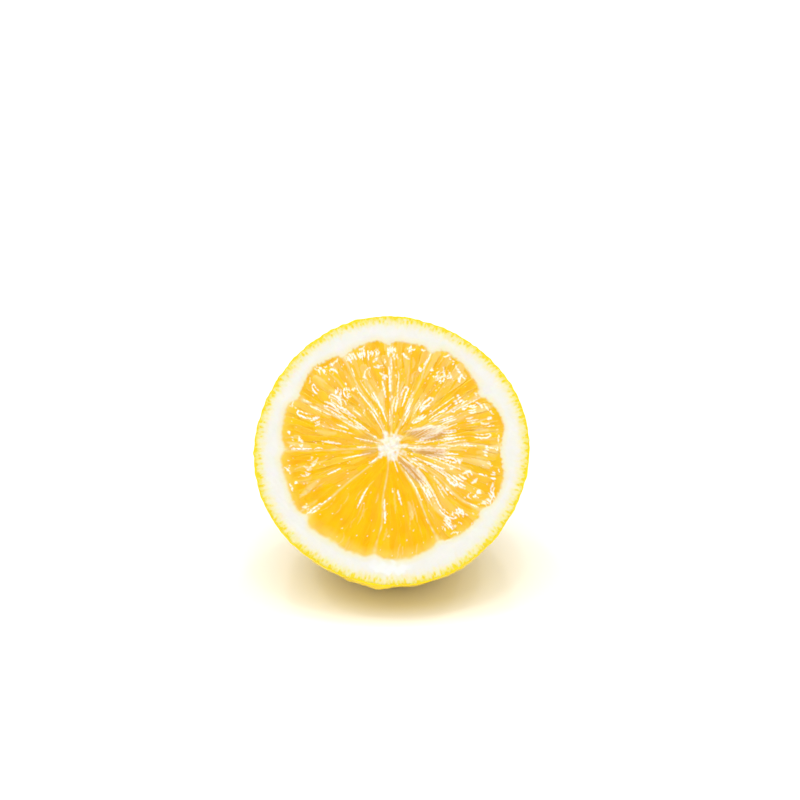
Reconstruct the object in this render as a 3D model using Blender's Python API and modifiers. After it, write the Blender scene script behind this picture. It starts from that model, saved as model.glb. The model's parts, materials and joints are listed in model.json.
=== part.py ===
"""A halved lemon, resting on its side with the cut face tipped up.

The half is one solid, as it grew and was cut. Its mesh is in the fruit's own frame, with the centre
of the cut face at the origin, +Z out of the cut face and the nipple at -Z. The object then tips it,
and sets it down on the floor plane z = 0 with the middle of its footprint at the origin.
"""

import math

import bpy
from mathutils import Vector

# Driving sizes, in metres and degrees.
RIM_RADIUS = 0.031  # half the fruit's width, at the cut
BODY_DEPTH = 0.040  # from the cut to where the rounded body would end without its nipple
BODY_FULLNESS = 2.35  # 2 is an ellipse, and more is a fuller shoulder
NIPPLE_HEIGHT = 0.0062  # how far the nipple stands out of the rounded body
NIPPLE_HALF_WIDTH = 0.0078  # from the axis to where the nipple has half its height
NIPPLE_STEEPNESS = 4  # how sharply the nipple's flank turns into the body
FACE_ELEVATION = 34.0  # how far the cut face's normal points above the horizon
REST_FLAT_DEPTH = 0.0007  # how much of the round side is pressed flat where the fruit rests

# Each low wave round the fruit is (waves in a turn, height as a share of the radius, degrees).
SIDE_WAVES = ((2, 0.006, -7.0), (3, 0.002, 40.0), (4, 0.008, -56.0))

# How finely the surface is divided.
TURN_STEPS = 72
SIDE_STEPS = 36
FACE_STEPS = 4

PEEL_YELLOW = (0.93, 0.66, 0.02, 1.0)
FLESH_YELLOW = (0.98, 0.72, 0.14, 1.0)
PEEL_ROUGHNESS = 0.35
FLESH_ROUGHNESS = 0.25
CUTTER_SPAN = 0.2
WELD = 0.00001


def new_collection(name):
    """A collection in the scene."""
    made = bpy.data.collections.new(name)
    bpy.context.scene.collection.children.link(made)
    return made


def side_point(angle):
    """The fruit's outline at this angle from the rim towards the tip, as (radius, depth)."""
    across = math.cos(angle) / RIM_RADIUS
    along = math.sin(angle) / BODY_DEPTH
    reach = (across**BODY_FULLNESS + along**BODY_FULLNESS) ** (-1 / BODY_FULLNESS)
    radius = reach * math.cos(angle)
    nipple = NIPPLE_HEIGHT / (1 + (radius / NIPPLE_HALF_WIDTH) ** NIPPLE_STEEPNESS)
    return radius, reach * math.sin(angle) + nipple


def outline():
    """Half the fruit's outline in the XZ plane: the cut face from its centre, then the side."""
    face = [Vector((RIM_RADIUS * step / FACE_STEPS, 0, 0)) for step in range(FACE_STEPS)]
    side = []
    for step in range(SIDE_STEPS):
        radius, depth = side_point(math.pi / 2 * step / SIDE_STEPS)
        side.append(Vector((radius, 0, -depth)))
    rim_depth = side[0].z
    tip = Vector((0, 0, -(BODY_DEPTH + NIPPLE_HEIGHT)))
    return [*(point + Vector((0, 0, rim_depth)) for point in face), *side, tip]


def turned(points, name):
    """The solid of revolution of this outline about Z, as a plain mesh."""
    profile = bpy.data.meshes.new(name + "_outline")
    edges = [(step, step + 1) for step in range(len(points) - 1)]
    profile.from_pydata([point.to_tuple() for point in points], edges, [])
    holder = bpy.data.objects.new(name + "_outline", profile)
    bpy.context.scene.collection.objects.link(holder)
    screw = holder.modifiers.new("turn", "SCREW")
    screw.steps = screw.render_steps = TURN_STEPS
    screw.use_merge_vertices = True
    screw.merge_threshold = WELD
    graph = bpy.context.evaluated_depsgraph_get()
    mesh = bpy.data.meshes.new_from_object(holder.evaluated_get(graph))
    mesh.name = name
    bpy.data.objects.remove(holder)
    return mesh


def side_factor(turn):
    """How much wider or narrower than round the fruit is at this angle about its axis."""
    waves = (size * math.cos(count * turn + math.radians(start)) for count, size, start in SIDE_WAVES)
    return 1 + sum(waves)


def make_uneven(mesh):
    """Gives the turned mesh the low waves of a grown fruit. The cut face stays flat."""
    for vertex in mesh.vertices:
        factor = side_factor(math.atan2(vertex.co.y, vertex.co.x))
        vertex.co.x *= factor
        vertex.co.y *= factor


def material(name, colour, roughness):
    """A plain surface of this colour."""
    made = bpy.data.materials.new(name)
    made.use_nodes = True
    shader = made.node_tree.nodes["Principled BSDF"]
    shader.inputs["Base Color"].default_value = colour
    shader.inputs["Roughness"].default_value = roughness
    shader.inputs["Metallic"].default_value = 0.0
    return made


def dress(mesh):
    """Peel on the round side and flesh on the cut, with a crisp edge between them."""
    mesh.materials.append(material("lemon_peel", PEEL_YELLOW, PEEL_ROUGHNESS))
    mesh.materials.append(material("lemon_flesh", FLESH_YELLOW, FLESH_ROUGHNESS))
    cut_height = max(vertex.co.z for vertex in mesh.vertices)
    for face in mesh.polygons:
        face.material_index = int(cut_height - face.center.z < WELD)
    mesh.shade_smooth()
    mesh.set_sharp_from_angle(angle=math.radians(40))


def set_down(fruit):
    """Tips the fruit, and lowers it until the floor plane is as deep in it as its pressed flat."""
    fruit.rotation_euler = (math.radians(90 - FACE_ELEVATION), 0, 0)
    tilt = fruit.rotation_euler.to_matrix()
    points = [tilt @ vertex.co for vertex in fruit.data.vertices]
    low = Vector([min(point[axis] for point in points) for axis in range(3)])
    high = Vector([max(point[axis] for point in points) for axis in range(3)])
    middle = (low + high) / 2
    fruit.location = (-middle.x, -middle.y, -(low.z + REST_FLAT_DEPTH))


def floor_cutter(collection):
    """A block whose top is the floor plane."""
    bpy.ops.mesh.primitive_cube_add(size=CUTTER_SPAN, location=(0, 0, -CUTTER_SPAN / 2))
    block = bpy.context.object
    block.name = "floor_cutter"
    for holder in block.users_collection:
        holder.objects.unlink(block)
    collection.objects.link(block)
    block.hide_render = True
    block.display_type = "WIRE"
    return block


def lemon_half(collection, cutters):
    """The half lemon, with its round side pressed flat where it rests."""
    mesh = turned(outline(), "lemon_half")
    make_uneven(mesh)
    dress(mesh)
    fruit = bpy.data.objects.new("lemon_half", mesh)
    collection.objects.link(fruit)
    set_down(fruit)
    press = fruit.modifiers.new("rest_flat", "BOOLEAN")
    press.operation = "DIFFERENCE"
    press.object = floor_cutter(cutters)
    return fruit


def main():
    """Clears the scene and builds the half lemon."""
    for old in list(bpy.data.objects):
        bpy.data.objects.remove(old)
    parts = new_collection("halved_lemon")
    cutters = new_collection("cutters")
    lemon_half(parts, cutters)


main()
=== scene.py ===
"""Half a ripe lemon resting on a pale table, with its cut face tipped up to show the pulp.

The fruit is made in its own frame: the centre of the cut at the origin, +Z out of the cut face,
+Y up along it and the nipple at -Z. Sizes are in millimetres until a mesh is made. Two nested
closed pieces stand for the one CAD solid: the peel, a thin bowl, and the flesh that fills it, pith
and pulp in one.
"""

import json
import logging
import math
from collections.abc import Callable
from dataclasses import dataclass, field
from enum import Enum
from functools import partial
from itertools import pairwise
from typing import Any

import bpy
import numpy as np
from mathutils import Matrix, Vector
from mathutils.kdtree import KDTree


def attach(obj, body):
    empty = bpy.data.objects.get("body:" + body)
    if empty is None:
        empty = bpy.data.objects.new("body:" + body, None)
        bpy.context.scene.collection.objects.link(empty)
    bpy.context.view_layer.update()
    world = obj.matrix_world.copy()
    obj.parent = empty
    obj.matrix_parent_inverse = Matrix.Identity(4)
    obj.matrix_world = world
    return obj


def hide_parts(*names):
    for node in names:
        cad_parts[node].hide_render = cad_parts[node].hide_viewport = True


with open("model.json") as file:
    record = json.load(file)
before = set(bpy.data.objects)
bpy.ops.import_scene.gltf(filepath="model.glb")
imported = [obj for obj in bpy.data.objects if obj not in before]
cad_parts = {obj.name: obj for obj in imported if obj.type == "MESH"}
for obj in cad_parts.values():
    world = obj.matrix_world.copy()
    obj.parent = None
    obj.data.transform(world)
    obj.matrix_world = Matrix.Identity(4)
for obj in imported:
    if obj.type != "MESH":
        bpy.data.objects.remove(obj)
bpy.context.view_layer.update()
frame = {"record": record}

LOG = logging.getLogger("lemon_half")
MM = 0.001  # one millimetre in Blender's metres
GOLDEN_TURN = math.pi * (3 - math.sqrt(5))
Array = np.ndarray
Socket = bpy.types.NodeSocket
NodeMaker = Callable[..., Socket]

# Settings that many nodes share. Places reach the nodes in millimetres, so a noise's scale is how
# many of its spots there are in a millimetre.
TIMES = {"operation": "MULTIPLY"}
TIMES_PLUS = {"operation": "MULTIPLY_ADD"}
SOFT_STEP = {"interpolation_type": "SMOOTHSTEP"}
MIXED = {"out": 2, "data_type": "RGBA"}


class Slot(Enum):
    """The record's material slots, listed beside the pieces in main."""

    PEEL = "peel"
    PULP = "pulp"


class Detail(Enum):
    """How many points a ring has: a piece's finest count over this, or one point at a pole."""

    POLE = 0
    FINE = 1
    HALF = 2
    QUARTER = 4
    EIGHTH = 8
    SIXTEENTH = 16


class Side(Enum):
    """What a ring of points is part of."""

    CUT = "the knife's cut"
    HIDDEN = "the hidden wall between the peel and the pith"
    ROUND = "the fruit's round outside"


def linear(colour: str) -> tuple[float, float, float, float]:
    """Turns an sRGB hex colour, such as "#FFC800", into Blender's linear one.

    Args:
        colour: the hex colour with its leading hash.

    Returns:
        Linear red, green and blue, and an alpha of 1.
    """
    parts = [int(colour[at : at + 2], 16) / 255 for at in (1, 3, 5)]
    return (*(p / 12.92 if p <= 0.04045 else ((p + 0.055) / 1.055) ** 2.4 for p in parts), 1.0)


def smooth(value: Array, low: float, high: float) -> Array:
    """Goes smoothly from 0 at low to 1 at high. Low may be the larger of the two."""
    share = np.clip((value - low) / (high - low), 0, 1)
    return share * share * (3 - 2 * share)


def mottle(points: Array, size: float, seed: int, waves: int = 20) -> Array:
    """A smooth random field, made of plane waves in random directions.

    Args:
        points: places to read it at, a row for each, in millimetres.
        size: the usual distance from a high spot to the next.
        seed: which field.
        waves: how many plane waves are added.

    Returns:
        One value for each point, with a mean of 0 and a spread of about 1.
    """
    draw = np.random.default_rng(seed)
    directions = draw.normal(size=(waves, points.shape[1]))
    directions /= np.linalg.norm(directions, axis=1, keepdims=True)
    rates = 2 * math.pi / (size * draw.uniform(0.75, 1.5, waves))
    starts = draw.uniform(0, 2 * math.pi, waves)
    total = np.zeros(len(points))
    for direction, rate, start in zip(directions, rates, starts, strict=True):
        total += np.cos(points @ direction * rate + start)
    return total * math.sqrt(2 / waves)


def set_inputs(
    tree: bpy.types.NodeTree, node: bpy.types.Node, inputs: dict[str | int, Any]
) -> None:
    """Sets a node's input sockets, or links them.

    Args:
        tree: the node tree that the node is in.
        node: the node.
        inputs: for each input socket a number, a hex colour, or the output socket to link to it.
    """
    for name, value in inputs.items():
        if isinstance(value, Socket):
            tree.links.new(value, node.inputs[name])
        else:
            node.inputs[name].default_value = linear(value) if isinstance(value, str) else value


def add_node(
    tree: bpy.types.NodeTree,
    kind: str,
    inputs: dict[str | int, Any] | None = None,
    out: str | int = 0,
    stops: tuple[tuple[float, str], ...] = (),
    **settings: Any,
) -> Socket:
    """Adds a node with its settings and links.

    Args:
        tree: the node tree to add it to.
        kind: Blender's name of the node, less its "ShaderNode".
        inputs: as set_inputs takes them.
        out: which output is wanted.
        stops: a colour ramp's places and hex colours.
        settings: the node's own properties.

    Returns:
        The wanted output socket.
    """
    node = tree.nodes.new("ShaderNode" + kind)
    for name, value in settings.items():
        setattr(node, name, value)
    set_inputs(tree, node, inputs or {})
    if stops:
        elements = node.color_ramp.elements
        while len(elements) < len(stops):
            elements.new(1.0)
        for element, (place, colour) in zip(elements, stops, strict=True):
            element.position = place
            element.color = linear(colour)
    return node.outputs[out]


def new_material(name: str) -> tuple[bpy.types.Material, bpy.types.NodeTree, bpy.types.Node]:
    """Makes a material.

    Args:
        name: what it is, and how its surface was made or is finished.

    Returns:
        The material, its node tree and its surface shader.
    """
    made = bpy.data.materials.new(name)
    made.use_nodes = True
    return made, made.node_tree, made.node_tree.nodes["Principled BSDF"]


@dataclass(frozen=True)
class FruitShape:
    """The half's outer shape, with the same sizes as the CAD solid, and the peel's thickness."""

    rim_radius: float = 31.0
    body_depth: float = 40.0
    fullness: float = 2.35  # 2 is an ellipse, and more is fuller at the shoulder
    nipple_height: float = 6.2
    nipple_half_width: float = 7.8
    nipple_steepness: float = 4.0
    # How the fruit is out of round: how many waves go round it, their height as a share of the
    # radius, and the turn in degrees that they start from.
    waves: tuple[tuple[int, float, float], ...] = (
        (2, 0.006, -7.0),
        (3, 0.002, 40.0),
        (4, 0.008, -56.0),
    )
    lip: float = 0.24  # the peel's thickness at the cut
    peel: float = 1.2  # its thickness from lip_depth down
    lip_depth: float = 2.5
    seat_depth: float = 2.0  # below this the hidden wall is raised as well as drawn in
    wall_rings: int = 20
    knife_edge: float = 0.03  # how far the cut's sharp edges are rounded

    @property
    def depth(self) -> float:
        """The depth of the nipple's tip below the cut."""
        return self.body_depth + self.nipple_height

    def outline(self, angle: Array) -> tuple[Array, Array]:
        """The round side's outline.

        Args:
            angle: from 0 at the rim to a quarter turn at the tip, in radians.

        Returns:
            The radius and the depth below the cut at each angle.
        """
        across = np.maximum(np.cos(angle), 0) / self.rim_radius
        along = np.sin(angle) / self.body_depth
        reach = (across**self.fullness + along**self.fullness) ** (-1 / self.fullness)
        radius = reach * np.maximum(np.cos(angle), 0)
        drop = (radius / self.nipple_half_width) ** self.nipple_steepness
        return radius, reach * np.sin(angle) + self.nipple_height / (1 + drop)

    def steps(self, count: int) -> tuple[Array, Array, Array]:
        """Goes down the outline from the rim to the tip.

        Args:
            count: how many places it stops at.

        Returns:
            The radius and the depth at each place, and the distance from each to the next.
        """
        radii, depths = self.outline(np.linspace(0, math.pi / 2, count))
        return radii, depths, np.hypot(np.diff(radii), np.diff(depths))

    def hidden_wall(self, gap: float, least: float) -> list[tuple[float, float]]:
        """The wall between the peel and the pith, from near the rim to near the tip.

        Args:
            gap: how far inside the peel's inner face it stands.
            least: the smallest radius it has.

        Returns:
            The radius and the height of each of its rings.
        """
        found = []
        radii, depths = self.outline(np.linspace(0, math.pi / 2, self.wall_rings + 2)[1:-1])
        for wide, deep in zip(radii.tolist(), depths.tolist(), strict=True):
            thick = self.lip + (self.peel - self.lip) * float(smooth(deep, 0.0, self.lip_depth))
            raised = 0.0 if deep < self.seat_depth else self.peel
            found.append((max(wide - thick - gap, least), raised - deep))
        return found

    def unevenness(self, turn: Array) -> Array:
        """How much further out than round the fruit is at this turn about its axis, as a share."""
        return sum(size * np.cos(n * turn + math.radians(start)) for n, size, start in self.waves)

    def ripple(self, turn: Array) -> Array:
        """The rim's fine scallops, where oil glands were cut through, as a share of the radius."""
        places = self.rim_radius * np.stack([np.cos(turn), np.sin(turn)], axis=1)
        return 0.0016 * mottle(places, 1.7, 41) + 0.0012 * mottle(places, 4.5, 42)

    def placement(self) -> Matrix:
        """Where the fruit stands, from the record's mount on the cut face.

        Returns:
            The fruit's own frame in the row's frame, in metres.
        """
        mount = next(m for m in frame["record"]["mounts"] if m["name"] == "cut_face")
        out = Vector(mount["axis"]).normalized()
        right = Vector((1, 0, 0))
        turn = Matrix((right, out.cross(right), out)).transposed().to_4x4()
        return Matrix.Translation(mount["pos_m"]) @ turn


@dataclass
class RingSheet:
    """Rings of points about the fruit's axis, from one pole to another, that close into a solid.

    Each ring has as many points as the ring before it, or half or twice as many. A pole has one.
    """

    finest: int  # the most points that a ring has
    counts: list[int] = field(default_factory=list)
    radii: list[float] = field(default_factory=list)
    heights: list[float] = field(default_factory=list)
    sides: list[Side] = field(default_factory=list)

    def add(self, detail: Detail, radius: float, height: float, side: Side) -> None:
        """Adds a ring.

        Args:
            detail: how many points it has.
            radius: its radius.
            height: its height above the cut.
            side: what it is part of.
        """
        self.counts.append(self.finest // detail.value if detail.value else 1)
        self.radii.append(radius)
        self.heights.append(height)
        self.sides.append(side)

    def spread(self, values: list[float]) -> Array:
        """Repeats each ring's value for each of its points."""
        return np.repeat(np.array(values, float), self.counts)

    def on(self, side: Side) -> Array:
        """Which points are part of this side."""
        return np.repeat([one is side for one in self.sides], self.counts)

    def turns(self) -> Array:
        """Each point's angle about the axis, anticlockwise from +X."""
        return np.concatenate([np.arange(count) * (2 * math.pi / count) for count in self.counts])

    def corners(self, ring: int, places: Array) -> Array:
        """The numbers of the points at these places round a ring, counted from its first."""
        return sum(self.counts[:ring]) + places % self.counts[ring]

    def faces(self) -> list[list[int]]:
        """The faces, which look outwards where the rings go from the cut's centre to the tip.

        Returns:
            The corners of each quad and triangle.
        """
        found: list[list[int]] = []
        for ring, (inner, outer) in enumerate(pairwise(self.counts)):
            a, b = partial(self.corners, ring), partial(self.corners, ring + 1)
            step = np.arange(min(inner, outer) if min(inner, outer) > 1 else max(inner, outer))
            if inner == 1:
                groups = [(b(step), b(step + 1), a(step))]
            elif outer == 1:
                groups = [(a(step + 1), a(step), b(step))]
            elif inner == outer:
                groups = [(b(step), b(step + 1), a(step + 1), a(step))]
            elif outer == 2 * inner:
                groups = [
                    (b(2 * step), b(2 * step + 1), a(step)),
                    (b(2 * step + 1), a(step + 1), a(step)),
                    (b(2 * step + 1), b(2 * step + 2), a(step + 1)),
                ]
            else:
                groups = [
                    (b(step), a(2 * step + 1), a(2 * step)),
                    (b(step), b(step + 1), a(2 * step + 1)),
                    (b(step + 1), a(2 * step + 2), a(2 * step + 1)),
                ]
            for group in groups:
                found += np.stack(group, axis=1).tolist()
        return found


def make_piece(
    name: str, points: Array, faces: list[list[int]], marks: dict[str, Array]
) -> bpy.types.Object:
    """Makes a smooth-shaded object, set in its place and pressed flat where it rests.

    Args:
        name: the piece's name.
        points: its vertices in the fruit's own frame, in millimetres.
        faces: the corners of each face.
        marks: number attributes of the points, which the material reads.

    Returns:
        The new object, linked to the scene.
    """
    placement = np.array(FruitShape().placement())
    placed = points * MM @ placement[:3, :3].T + placement[:3, 3]
    placed[:, 2] = np.maximum(placed[:, 2], 0)
    mesh = bpy.data.meshes.new(name)
    mesh.from_pydata(placed.tolist(), [], faces)
    fruit_place = mesh.attributes.new("place", "FLOAT_VECTOR", "POINT")
    fruit_place.data.foreach_set("vector", points.astype(np.float32).ravel())
    for mark, values in marks.items():
        column = mesh.attributes.new(mark, "FLOAT", "POINT")
        column.data.foreach_set("value", values.astype(np.float32))
    mesh.shade_smooth()
    mesh.update()
    piece = bpy.data.objects.new(name, mesh)
    bpy.context.scene.collection.objects.link(piece)
    return piece


@dataclass(frozen=True)
class Segment:
    """One of the fruit's segments, seen on the cut."""

    start: float  # degrees anticlockwise from the right to the wall it begins at
    # How torn a segment is also sets how many painted highlights lie on it, so the upper segments,
    # where light from above falls, have the most.
    torn: float  # 0 where the knife left a clean wet cut, 1 where it tore the sacs open
    bulge: float  # how much further out than usual its rounded end reaches, in millimetres
    corner: float  # how far the pith comes in along its first wall, in millimetres
    streaks: float  # how thickly bright fibres run out from the core, from 0 to 1


SEGMENTS = (
    Segment(1.0, 0.85, 0.8, 0.1, 1.0),
    Segment(33.5, 0.85, 0.4, 1.0, 0.25),
    Segment(67.8, 0.76, 0.2, 0.8, 0.15),
    Segment(91.0, 0.9, 0.2, 0.5, 0.25),
    Segment(116.6, 1.0, 0.25, 0.5, 0.6),
    Segment(150.6, 0.52, 0.4, 0.7, 0.3),
    Segment(180.0, 0.35, 0.4, 0.5, 0.2),
    Segment(219.0, 0.08, -0.3, 1.3, 0.05),
    Segment(262.7, 0.12, -0.45, 1.1, 0.2),
    Segment(296.8, 0.72, -0.2, 0.9, 0.8),
    Segment(326.0, 0.95, 0.8, 1.0, 1.0),
)


@dataclass(frozen=True)
class Seed:
    """A flat seed just under the cut, or one that the knife went through."""

    turn: float  # degrees, to its middle
    middle: float  # from the fruit's axis
    length: float
    width: float
    shade: float  # how strongly it shows through
    rise: float  # how far it stands up
    lean: float = 0.0  # degrees from straight outwards


SEEDS = (
    Seed(21.0, 8.7, 10.4, 4.2, 0.95, 0.2, -17.0),
    Seed(-8.0, 8.8, 9.5, 2.6, 0.9, 0.15, 4.0),
    Seed(-51.0, 6.8, 8.6, 2.7, 0.95, 0.2),
    Seed(161.0, 5.7, 5.0, 3.0, 0.45, 0.0),
    Seed(190.0, 5.2, 4.6, 1.9, 0.65, 0.0),
)


@dataclass(frozen=True)
class SacRow:
    """A row of juice sacs across a segment."""

    outer: float  # radius of their blunt outer ends
    length: float
    width: float


SAC_ROWS = (
    SacRow(7.0, 4.0, 0.9),
    SacRow(10.5, 5.5, 1.2),
    SacRow(14.5, 7.0, 1.45),
    SacRow(18.5, 8.0, 1.6),
    SacRow(22.0, 8.5, 1.7),
    SacRow(25.0, 8.5, 1.8),
)


@dataclass(frozen=True)
class Layout:
    """Where points of the cut lie among the segments."""

    bent: Array  # their places with the fruit's wander taken out
    radius: Array
    index: Array  # the segment that each is in
    wall_gap: Array  # to the nearer segment wall
    pocket: Array  # how far out the pulp reaches in each point's direction


@dataclass
class Patch:
    """The points of one segment of the cut, and what has been laid on them so far."""

    flat: Array
    start: float  # the turn of its first wall, in radians
    end: float
    height: Array
    rough: Array  # how far a stroke's edge strays there, in millimetres
    tone: Array = field(init=False)  # each sac's own shade of gold
    veil: Array = field(init=False)  # how far pale skin or pulp clouds it
    glint: Array = field(init=False)  # how far a painted highlight whitens it

    def __post_init__(self) -> None:
        """Starts with plain pulp, neither pale nor bright."""
        count = len(self.flat)
        self.tone, self.veil, self.glint = np.full(count, 0.5), np.zeros(count), np.zeros(count)

    def cloud(self, stroke: "Stroke", strength: float) -> None:
        """Lays a pale stroke over what is there."""
        self.veil += strength * stroke.over(self.flat, self.rough)

    def shine(self, stroke: "Stroke", strength: float) -> None:
        """Lays a bright stroke, a painted highlight, over what is there."""
        self.glint = np.maximum(self.glint, strength * stroke.over(self.flat, self.rough))


@dataclass(frozen=True)
class Stroke:
    """A line, or the outline of a long loop, along a sac's wet skin: pale skin where it clouds, a
    painted highlight where it shines.
    """

    radius: float  # of its middle
    turn: float
    lean: float  # from straight outwards
    length: float
    half_width: float
    bend: float = 0.0
    shift: float = 0.0  # to the side of its middle
    loop: float = 0.0  # half the width of the loop it goes round, or 0
    core: float = 0.6  # the share of its width that is fully bright

    def over(self, flat: Array, rough: Array) -> Array:
        """How strongly the stroke covers each point.

        Args:
            flat: the points' x and y.
            rough: how far the stroke's edge strays at each.

        Returns:
            From 0 off the stroke to 1 in its middle.
        """
        towards = self.turn + self.lean
        away = flat - self.radius * np.array([math.cos(self.turn), math.sin(self.turn)])
        along = away @ np.array([math.cos(towards), math.sin(towards)])
        share = along / (self.length / 2 + 1e-6)
        aside = away @ np.array([-math.sin(towards), math.cos(towards)])
        aside = aside - self.shift - self.bend * share**2
        gap = np.hypot(np.maximum(np.abs(along) - self.length / 2, 0), aside)
        if self.loop:
            # A loop is open at its inner end and fainter on the side it bends to.
            gap = np.abs(gap - self.loop) + 0.25 * smooth(share, -0.2, -1.1)
            gap = gap + 0.12 * smooth(aside * self.bend, 0.0, self.loop * abs(self.bend))
        else:
            gap = gap * (1 + np.minimum(share**2, 2))
        return smooth(gap + rough, self.half_width * 1.3, self.half_width * self.core)


@dataclass
class CutFace:
    """The relief and the markings of the cut: core, segment walls, juice sacs, seeds, pith, and the
    painted highlights and sheen.
    """

    pocket_radius: float = 25.0  # from the axis to a segment's rounded end
    corner_width: float = 3.0  # from a segment's wall to where its end is at its full reach
    core_radius: float = 2.7
    core_arm: float = 0.7  # how much further the core reaches along the segment walls
    core_shift: tuple[float, float] = (0.1, 0.85)  # of the core from the fruit's axis
    wall_half_width: float = 0.15
    warp: float = 0.3  # how far the walls and sacs wander from straight
    sac_fill: float = 0.85  # how many sacs lie in a row, as a share of those that fit side by side
    opened_sacs: float = 0.45  # the share of the sacs that the knife opened into a hollow
    film_turn: float = -91.0  # degrees, to the middle of the juice that ran down
    film_half_turn: float = 12.5
    film_radius: float = 26.9
    seed: int = 7

    def __post_init__(self) -> None:
        """Starts the random draws and notes where the segments begin and end."""
        self.draw = np.random.default_rng(self.seed)
        self.starts = np.array([segment.start for segment in SEGMENTS])
        self.ends = np.append(self.starts[1:], self.starts[0] + 360)

    def lay_out(self, flat: Array) -> Layout:
        """Finds each point's place among the segments.

        Args:
            flat: the points' x and y.

        Returns:
            Their places.
        """
        wander = np.stack([mottle(flat, 15.0, 11), mottle(flat, 15.0, 12)], axis=1) * self.warp
        inner = smooth(np.hypot(*flat.T), self.pocket_radius, 0.0)[:, None]
        bent = flat + wander - np.array(self.core_shift) * inner
        radius = np.hypot(*bent.T)
        turn = np.degrees(np.arctan2(bent[:, 1], bent[:, 0])) % 360
        count = len(SEGMENTS)
        index = (np.searchsorted(self.starts, turn, side="right") - 1) % count
        turn = np.where(turn < self.starts[0], turn + 360, turn)
        into = (turn - self.starts[index]) / (self.ends - self.starts)[index]
        side_gap = np.minimum(turn - self.starts[index], self.ends[index] - turn)
        wall_gap = radius * np.sin(np.radians(np.minimum(side_gap, 90)))
        nearer = np.where(into < 0.5, index, (index + 1) % count)
        corner = np.array([segment.corner for segment in SEGMENTS])[nearer]
        corner = corner * (1 - smooth(wall_gap, 0.0, self.corner_width)) ** 2
        bulge = np.array([segment.bulge for segment in SEGMENTS])[index]
        reach = bulge * (1 - np.abs(2 * smooth(into, 0.0, 1.0) - 1) ** 3)
        rough = 0.06 * mottle(flat, 1.4, 15) + 0.12 * mottle(flat, 6.0, 24)
        return Layout(bent, radius, index, wall_gap, self.pocket_radius + reach - corner + rough)

    def measure(self, flat: Array) -> dict[str, Array]:
        """Works out the height and the markings at each point of the cut face.

        Args:
            flat: the points' x and y.

        Returns:
            The height, and the marks that the material reads, by name.
        """
        lay = self.lay_out(flat)
        pulp_gap = lay.pocket - lay.radius
        # The core is a ragged star, with arms that run out along the segment walls.
        arms = np.exp(-((lay.wall_gap / 0.45) ** 2)) * smooth(lay.radius, 1.0, 2.4)
        core = self.core_radius + self.core_arm * arms * (0.8 + 0.5 * mottle(flat, 4.0, 28))
        core += 0.5 * mottle(flat, 2.2, 16) + 0.25 * mottle(flat, 0.9, 25)
        # The more the knife tore a segment, the sharper is the edge between its pulp and the pith.
        torn = np.array([segment.torn for segment in SEGMENTS])[lay.index]
        torn = np.clip(torn + 0.15 * mottle(flat, 6.0, 17), 0.05, 1)
        ragged = (pulp_gap + 0.1 * torn * mottle(flat, 0.9, 30)) / (0.55 - 0.3 * torn)
        in_pocket = smooth(ragged, -1.0, 1.0)
        in_core = smooth(core - lay.radius, -0.9, 0.9)

        pulp = self.pulp(lay, torn)
        seeds = self.seeds(lay.bent)
        # The pulp has sunk a little where it meets the walls and the pith. The walls stand in it as
        # thin ridges, which are wider where they spread into the pith.
        settle = smooth(lay.wall_gap, 0.0, 0.5) * smooth(pulp_gap, 0.0, 0.6)
        pulp_height = -0.03 + pulp["height"] * settle - 0.05 * (1 - settle)
        half = self.wall_half_width * (1.2 + 0.6 * torn) * (1 + 1.6 * smooth(pulp_gap, 3.5, 0.0))
        wall = np.exp(-((lay.wall_gap / half) ** 2)) * (0.8 + 0.2 * mottle(flat, 2.0, 18))
        pulp_height = np.maximum(pulp_height, -0.3 + 0.32 * wall) + seeds["rise"]
        core_height = 0.03 * mottle(flat, 0.8, 19) + 0.05 * mottle(flat, 1.8, 20)
        pith_height = 0.01 * mottle(flat, 0.9, 21) + 0.02 * mottle(flat, 4.0, 22)
        top = pulp_height * (1 - in_core) + core_height * in_core
        # A seed that stands up has a broken rim of pale wet skin with a painted sheen on its upper
        # edge, and dims the painted glints on the sacs there.
        skin = seeds["skin"] * np.clip(0.75 + 0.35 * mottle(flat, 1.3, 34), 0, 1)
        veil = np.maximum(np.maximum(pulp["veil"], (0.7 + 0.25 * torn) * wall), 0.8 * skin)
        glint = np.clip(pulp["glint"], 0, 1) * (1 - 0.65 * seeds["shade"])
        return {
            "height": top * in_pocket + pith_height * (1 - in_pocket),
            "in_pulp": in_pocket * (1 - in_core),
            "tone": pulp["tone"],
            "veil": np.clip(veil, 0, 1),
            "glint": np.maximum(glint, 0.55 * skin) * smooth(pulp_gap, -0.1, 0.3),
            "seed_shade": seeds["shade"] * (1 - in_core),
            "torn": torn,
            "pulp_gap": pulp_gap,
            "core": in_core,
            "film": self.film(flat),
        }

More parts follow.
